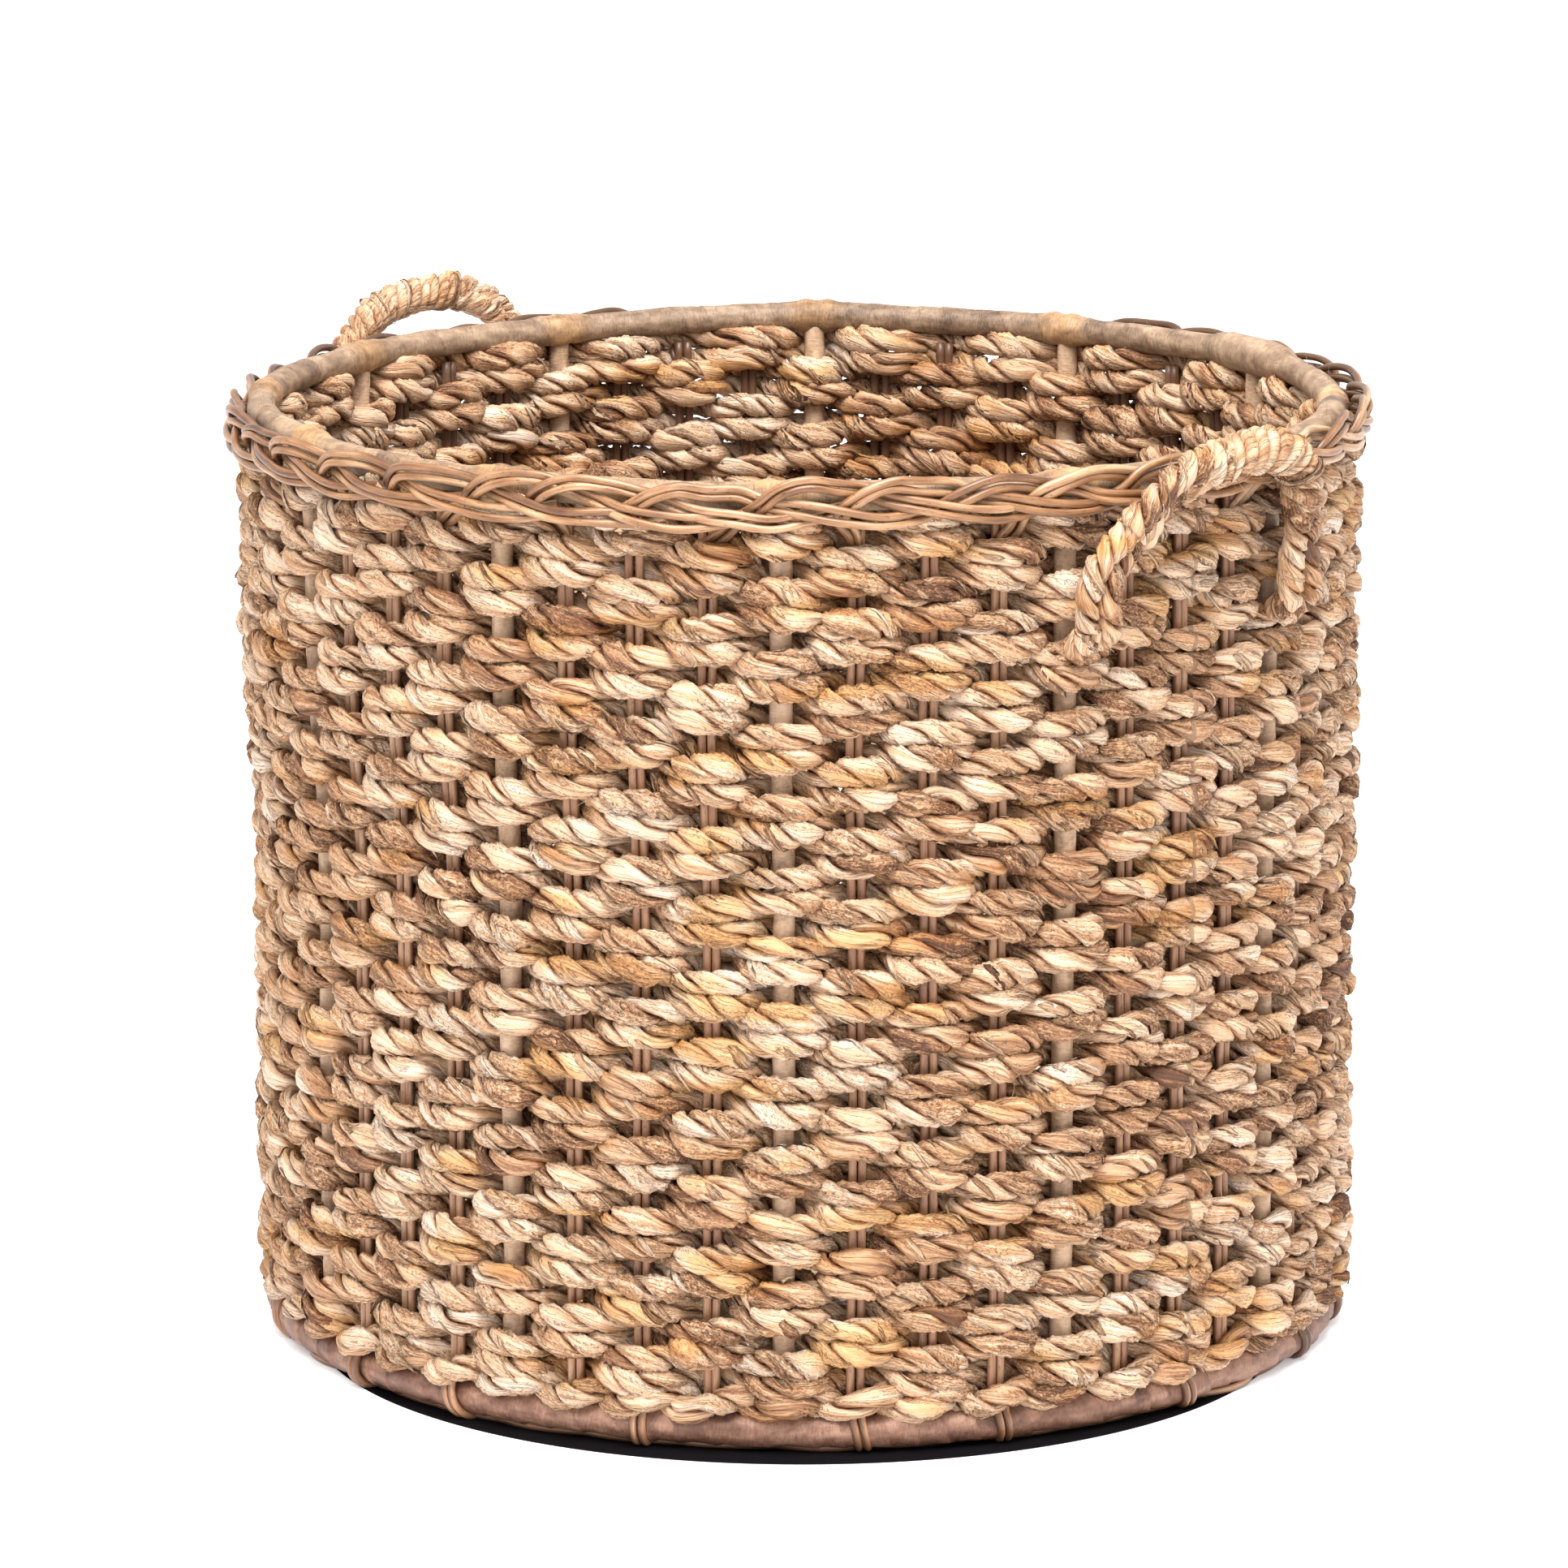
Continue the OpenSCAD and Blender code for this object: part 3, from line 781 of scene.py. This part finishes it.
def on_wall(knots, count):
    """A curve through knots given as an angle in degrees, a height in mm and a radius in mm."""
    knots = np.array(knots, float)
    mean = knots[:, 2].mean()
    knots[:, 0] = np.radians(knots[:, 0]) * mean
    curve = smooth(knots, count)
    angle = curve[:, 0] / mean
    path = ring(curve[:, 2] * MM, angle, 0.0)
    path[:, 2] = curve[:, 1] * MM
    out = np.stack([np.cos(angle), np.sin(angle), 0 * angle], -1)
    return path, out


def paired(mesh, knots, count, radius, apart, seed):
    """Two rods side by side along a curve on the wall."""
    path, out = on_wall(knots, count)
    tangent = unit(np.gradient(path, axis=0))
    across = unit(np.cross(out, tangent))
    along, _ = run(path, False)
    for side in (-1, 1):
        rng = np.random.default_rng(seed + side)
        shift = side * apart + ripple(seed + 3 + side, along, 40, 160, 0.38 * MM)
        depth = ripple(seed + 6 + side, along, 40, 160, 0.35 * MM)
        r = radius * rng.normal(1, 0.06)
        rod(mesh, path + across * shift[:, None] + out * depth[:, None], r, out, seed + 9 + side)


# The rolled border at the rim. Each pair of stakes comes out of the wall at its angle in the bay, turns over
# to the right in a low arch, goes behind the next arch, comes out below it and runs on in front of the one
# after. BORDER has degrees from where it comes out, mm up from the border's foot, and mm from the axis.
COMES_OUT = (6.5, 16.5, 26.5)
BORDER = (
    (-1.2, 1.6, 224.6), (0.0, 6.2, 228.2), (1.8, 11.6, 230.6), (4.5, 14.4, 230.2),
    (7.5, 13.8, 227.8), (10.3, 11.6, 225.4), (13.0, 8.8, 226.8), (16.0, 5.8, 229.6),
    (20.0, 3.2, 231.2), (24.0, 2.2, 230.6), (27.5, 3.0, 227.0), (30.5, 5.0, 223.6),
)  # fmt: skip


def rim():
    mesh = Mesh()
    low = (TOP_Z - 11 * MM) / MM
    rng = np.random.default_rng(42)
    for bay in range(POSTS):
        for j, comes_out in enumerate(COMES_OUT):
            start = math.degrees(FIRST_POST + bay * BAY)
            stake = start + (j + 1) * math.degrees(STEP)
            shift = start + comes_out + rng.normal(0, 0.7)
            # the border is pulled a little higher at the front
            way = math.radians(shift + 5) - FRONT
            lift = 2.7 * math.cos(way) + 1.8 * math.sin(way) - 0.3
            hump = rng.normal(0, 0.8)
            knots = [(stake, low - 9, 218.0), ((2 * stake + shift) / 3, low - 3.5, 220.5)]
            for turn, height, radius in BORDER:
                rise = lift + (hump if 0 < turn < 13 else 0)
                place = shift + turn + rng.normal(0, 0.3)
                knots.append((place, low + height + rise + rng.normal(0, 0.4), radius))
            paired(mesh, knots, 84, STAKE_R * 0.92, PAIR_HALF, 20000 + 40 * (bay * 3 + j))
    mesh.make("rim_border_rods", RIM_RATTAN, "rattan", "rim_border")


rim()


def ties():
    """Stake ends that come out of the bottom twine and round the base hoop: two pairs, then one."""
    mesh = Mesh()
    over = (BASE_TUBE + STAKE_R) / MM
    mid, z = FRAME_R / MM, BASE_Z / MM
    rng = np.random.default_rng(77)
    for bay in range(POSTS):
        for j in (2,) if bay % 2 else (1, 3):
            a = math.degrees(FIRST_POST + bay * BAY + j * STEP)
            slide = abs(rng.normal(0.6, 0.9))
            knots = [(a, z + 13, mid + 1.5), (a, z + 8.5, mid + over * 0.62)]
            for turn in (35, 10, -20, -50, -75, -100, -125):
                t = math.radians(turn)
                go = a + slide * (35 - turn) / 80
                knots.append((go, z + math.sin(t) * over, mid + math.cos(t) * over))
            _, sideways = facing(math.radians(a))
            for side in (-1, 1):
                shift = side * 0.46 + rng.normal(0, 0.03)
                path, _ = on_wall([(go + shift, height, radius) for go, height, radius in knots], 60)
                rod(mesh, path, STAKE_R * 0.9, sideways, 24000 + bay * 20 + j * 4 + side)
    mesh.make("base_tie_rods", RATTAN, "rattan", "base_ties")


ties()


def foot():
    """Rods rolled under the base hoop: each pair comes out below it, runs on and tucks under again."""
    mesh = Mesh()
    rng = np.random.default_rng(91)
    thick = (FOOT_HIGH[2] - FOOT_LOW[2]) / 2
    z = thick / MM
    for k in range(POSTS * 3):
        a = k * 10 + rng.normal(0, 1.2)
        reach = rng.uniform(213.5, 218.0)
        knots = [(a + turn, z, radius) for turn, radius in ((4, 212.5), (8, reach), (11, reach), (15, 213.0))]
        path, out = on_wall([(a, z + 0.2, 209.0), *knots, (a + 20, z + 0.2, 209.0)], 60)
        for side in (-1, 1):
            rod(mesh, path + out * side * thick, thick, UP, 26000 + 10 * k + side, sides=10)
    mesh.make("foot_border_rods", RATTAN, "rattan", "foot_border")


foot()

# --- the floor of the basket ---

FLOOR_Z = (MAT_LOW[2] + MAT_HIGH[2]) / 2
FLOOR_ROPE_R = 4.3 * MM
SPOKE_R = 3.4 * MM


def spokes():
    """Wrapped canes and pairs of rods in turn, from the hub out to the base hoop."""
    mesh = Mesh()
    near, far = HUB_R + HUB_TUBE, FRAME_R - BASE_TUBE
    reach = np.linspace(near, far, 90)[:, None]
    for k in range(POSTS * 2):
        angle = k * BAY / 2
        out, across = facing(angle)
        start = np.array([0, 0, FLOOR_Z])
        if k % 2:
            wrapped(mesh, start + out * reach, SPOKE_R, UP, 11 * MM, 800 + k, False, 12, 0.3 * MM)
        else:
            for side in (-1, 1):
                shift = across * side * PAIR_HALF - out * 2.5 * MM
                rod(mesh, start + out * reach + shift, STAKE_R, UP, 850 + 2 * k + side)
    mesh.make("floor_spokes", BASE_BARK, "base_hoop_wrap", "base_spokes")


def floor_hub():
    mesh = Mesh()
    angle = circle(240)
    wrapped(mesh, ring(HUB_R, angle, FLOOR_Z), HUB_TUBE, UP, 9 * MM, 61, True, sides=14)
    mesh.make("floor_hub_wrapped", BASE_BARK, "base_hoop_wrap", "base_hub")


def floor_ropes():
    """Rings of rope, each over one spoke and under the next, and its neighbours the other way round."""
    mesh = Mesh()
    inner, outer = HUB_R + HUB_TUBE + FLOOR_ROPE_R, MAT_HIGH[0] - FLOOR_ROPE_R
    count = round((outer - inner) / (8.3 * MM)) + 1
    for k in range(count):
        radius = inner + (outer - inner) * k / (count - 1) + (k == count - 1) * 1.8 * MM
        rings = int(radius / MM * 2.6) + 60
        angle = circle(rings)
        along = angle * radius
        wave = np.cos(POSTS * angle + math.pi * k)
        wave = wave * (1.35 - 0.35 * wave * wave)
        seed = 30000 + 20 * k
        lift = wave * (SPOKE_R + FLOOR_ROPE_R * 0.60) * 0.95
        path = ring(radius + ripple(seed, along, 20, 120, 0.3 * MM, TAU * radius), angle, FLOOR_Z + lift)
        flat = 0.66 + 0.30 * (1 - np.abs(wave))
        rope = Rope(path, FLOOR_ROPE_R, ROPE_PITCH, seed, squeeze=np.stack([0.98 + 0 * flat, flat], -1))
        rope.draw(mesh, sides=8)
    mesh.make("floor_rope_rings", ROPE, "seagrass_rope", "base_mat")


def floor_coil():
    """The middle of the floor: a rope coiled inside the hub, whose last turn is a full circle."""
    mesh = Mesh()
    turns = 2.9
    t = np.linspace(0, 1, 280)
    near = 3.5 * MM
    radius = near + (HUB_R - HUB_TUBE - FLOOR_ROPE_R - near) * np.minimum(t / 0.66, 1)
    path = ring(radius, TAU * turns * t, FLOOR_Z)
    rope = Rope(path, FLOOR_ROPE_R * 1.05, ROPE_PITCH, 31000, closed=False)
    rope.draw(mesh)
    mesh.make("floor_centre_coil", ROPE, "seagrass_rope", "base_centre_coil")


spokes()
floor_hub()
floor_ropes()
floor_coil()

# --- the handles ---

HINGE_X = 231.5 * MM  # how far out the hinge line of each handle is
HINGE_Z = ROW_LOW + (HANDLE_ROW - 0.5) * ROW_PITCH
LEAN = math.radians(10)  # how far the handles lean outwards
HANDLE_HALF = 57.0  # mm along the wall from a handle's middle to the post at each root

# each handle's line, in mm: along the wall to the right, and up from the hinge line in the handle's own plane
RIGHT_ARCH = (
    (-56.5, -7), (-58.5, -1), (-61.5, 8), (-63, 17), (-59.5, 27), (-53, 35), (-45.5, 43), (-33, 53.5),
    (-16.5, 60.5), (0.5, 64), (17, 65.5), (31, 62), (41.5, 53), (45.5, 41), (47, 29), (48.5, 17), (51, 6),
    (54, -2), (55, -7),
)  # fmt: skip
LEFT_ARCH = (
    (-58, -7), (-59, -1), (-61, 12), (-61.5, 28), (-58.5, 43), (-52, 56), (-44, 64), (-33, 69), (-19, 71.8),
    (-2, 71.3), (14, 68), (27, 61), (38, 49), (46, 35), (51, 20), (54, 5), (55.5, -2), (56, -7),
)  # fmt: skip

# where the rope of a root goes round the post inside the wall, in mm: to the side, from the axis, and up
ROOT = (
    (-4, 222.5, 0.5), (-7.5, 219, -1), (-9.3, 213, -1), (-8, 206, 0.5), (-3.5, 201.5, 1.5),
    (3.5, 201.5, 1.5), (8, 206, 0.5), (9.3, 213, -1), (7.5, 219, -1), (4, 222.5, 0.5),
)  # fmt: skip


class Handle:
    """One handle: its middle line, the directions across it, and the pieces made along it."""

    def __init__(self, name, side, arch):
        out = np.array([side * math.cos(LEAN), 0, -math.sin(LEAN)])
        right = np.array([0, side * 1.0, 0])
        upward = np.array([side * math.sin(LEAN), 0, math.cos(LEAN)])
        self.body, self.side, self.out = f"handle_{name}", side, out
        self.seed = 40000 if side > 0 else 41000
        self.root = np.array([side * HINGE_X, 0, HINGE_Z])
        self.line = smooth(arch, 420) * MM
        middle = self.root + right * self.line[:, :1] + upward * self.line[:, 1:]
        # the roots turn in between the rows, one each side of the post
        self.sunk = np.clip((2 * MM - self.line[:, 1]) / (9 * MM), 0, 1)
        self.middle = middle - np.array([side * 1.0, 0, 0]) * (self.sunk**1.3 * 11 * MM)[:, None]
        _, self.across, self.lift = frames(self.middle, out, False)
        along, length = run(self.middle, False)
        self.height = self.line[:, 1] / MM
        rooted = np.clip((self.height + 8) / 12, 0, 1)
        self.roll = 0.5 * np.sin(TAU * (1.5 * (along / length) + 0.2)) * rooted

    def beside(self, apart, spread=1.0):
        """How far a rope beside the middle line is off it, as the two ropes roll round each other."""
        aside = np.cos(self.roll) * apart * spread
        above = np.sin(self.roll) * apart
        return self.across * aside[:, None] + self.lift * above[:, None]

    def legs(self):
        """The two ropes of both legs and the arch."""
        height, seed, body = self.height, self.seed, self.body
        wound = np.clip((height - 36) / 10, 0, 1)
        squeeze = np.repeat((1 - 0.16 * wound)[:, None], 2, 1)
        ropes = Mesh()
        for half in (-1, 1):
            path = self.middle + self.beside(half * (4.25 - 1.25 * wound) * MM, 1 + 0.3 * self.sunk)
            rope = Rope(path, 4.9 * MM, 18 * MM, seed + half * 3, self.out, False, squeeze, hand=1)
            rope.draw(ropes, sides=12)
            rope.leaves(ropes, 16, seed + 20 + half, keep=height < 40)
            rope.hairs(ropes, 14, seed + 40 + half, keep=height < 40)
        core = ropes.make(f"{body}_legs", HANDLE_ROPE, "handle_rope", f"{body}_core", body=None)
        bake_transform(core)

    def grip(self, thick):
        """A thick lay of two ropes on the left of the top, and tight turns of three strands on the right."""
        height = self.height
        count = len(height)
        first = int(np.argmax(height > 38))
        last = int(count - 1 - np.argmax(height[::-1] > 38))
        change = int(first + (last - first) * 0.36)
        lay = (first, change + 10, 2, 19 * MM, thick * 0.60, thick * 0.48)
        turns = (change, last, 3, 17 * MM, thick * 0.98, 0)
        mesh = Mesh()
        for k, (start, end, strands, pitch, radius, apart) in enumerate((lay, turns)):
            for half in (-1, 1) if apart else (0,):
                part = (self.middle + self.beside(apart * half))[start:end]
                fine = np.linspace(0, len(part) - 1, int(len(part) * 1.2))
                part = np.stack([np.interp(fine, np.arange(len(part)), part[:, i]) for i in range(3)], -1)
                ends = np.minimum(np.arange(len(part)), np.arange(len(part))[::-1]) / 7
                squeeze = np.repeat((0.80 + 0.20 * np.clip(ends, 0, 1) ** 0.5)[:, None], 2, 1)
                seed = self.seed + 60 + 3 * k + half
                rope = Rope(part, radius, pitch, seed, self.out, False, squeeze, strands, hand=1)
                rope.draw(mesh, sides=14)
                rope.leaves(mesh, 12, seed + 20, size=0.8, lift=0.6)
                rope.hairs(mesh, 16, seed + 30, length=(3, 9))
        body = self.body
        mesh.make(f"{body}_grip_wound", HANDLE_ROPE, "handle_rope", f"{body}_grip", body=body)

    def roots(self):
        """Each leg's two ropes are the ends of one rope that goes round the post inside the wall."""
        mesh = Mesh()
        for k, end in enumerate((0, -1)):
            at = self.line[end, 0] / MM * self.side
            knots = []
            for shift, radius, z in ROOT:
                x = self.side * math.sqrt(radius**2 - HANDLE_HALF**2) * MM
                knots.append((x, (at + shift) * MM, HINGE_Z + (z - 9) * MM))
            rope = Rope(smooth(knots, 120), 4.4 * MM, 26 * MM, self.seed + 100 + k, closed=False, hand=1)
            rope.draw(mesh)
        mesh.make(f"{self.body}_roots", HANDLE_ROPE, "handle_rope", f"{self.body}_anchors")


for name, side, arch, thick in (("right", 1, RIGHT_ARCH, 9.5 * MM), ("left", -1, LEFT_ARCH, 8.0 * MM)):
    handle = Handle(name, side, arch)
    handle.legs()
    handle.grip(thick)
    handle.roots()

# --- floor, light and camera ---

CAMERA_FAR = 3.45
CAMERA_RISE = math.radians(12.69)
# the radius of the painted shadow under the basket
SHADE_R = 0.199


def flat(name, points, material):
    """One flat face on the ground."""
    mesh = bpy.data.meshes.new(name)
    mesh.from_pydata(points, [], [tuple(range(len(points)))])
    mesh.materials.append(material)
    piece = placed(name, mesh)


def ground():
    """White paper, and a dark disc under the basket: a painted shadow that shows as a thin crescent in front
    of its foot.
    """
    m = Nodes("ground")
    m.put(m.shader, Emission_Color=(1, 1, 1, 1), Emission_Strength=0.25)
    far = 30.0
    corners = [(-far, -far, 0), (far, -far, 0), (far, far, 0), (-far, far, 0)]
    flat("ground", corners, m.look((0.93, 0.93, 0.94, 1), 0.9))
    # the painted shadow: a nearly black disc on the ground under the basket
    disc = ring(SHADE_R, circle(240), 0) + np.array(turned(0.001, -0.037, 0.0002))
    flat("shade", disc.tolist(), Nodes("shade").look((0.005, 0.004, 0.005, 1), 1.0, 0.05))


def turned(x, y, z):
    """A place given as seen from the front: x to the right, y to the back, z up."""
    return Vector(RIGHT * x - FORWARD * y + np.array([0, 0, z]))


def aimed(name, data, at, target):
    """A lamp or camera that looks from one place to another."""
    thing = placed(name, data)
    thing.location = at
    thing.rotation_mode = "QUATERNION"
    thing.rotation_quaternion = (Vector(target) - thing.location).to_track_quat("-Z", "Y")
    return thing


def area_light(name, at, target, size, power):
    data = bpy.data.lights.new(name, "AREA")
    data.shape = "DISK"
    data.size = size
    data.energy = power
    aimed(name, data, at, target)


def camera():
    data = bpy.data.cameras.new("camera")
    data.sensor_width = 36
    data.lens = 192.7
    data.clip_end = 60
    at = turned(0, -CAMERA_FAR * math.cos(CAMERA_RISE), CAMERA_FAR * math.sin(CAMERA_RISE) + 0.19)
    bpy.context.scene.camera = aimed("camera", data, at, turned(-0.006, 0, 0.2195))


def world():
    w = bpy.data.worlds.new("studio")
    w.use_nodes = True
    w.node_tree.nodes["Background"].inputs["Color"].default_value = (1, 1, 1, 1)
    w.node_tree.nodes["Background"].inputs["Strength"].default_value = 1.12
    bpy.context.scene.world = w


ground()
world()
area_light("key", turned(-1.1, -2.3, 2.6), (0, 0, 0.25), 0.9, 25)
area_light("top", turned(0.05, -0.75, 1.8), turned(0.05, 0.20, 0.28), 1.2, 53)
camera()
bpy.context.scene.view_settings.view_transform = "Standard"
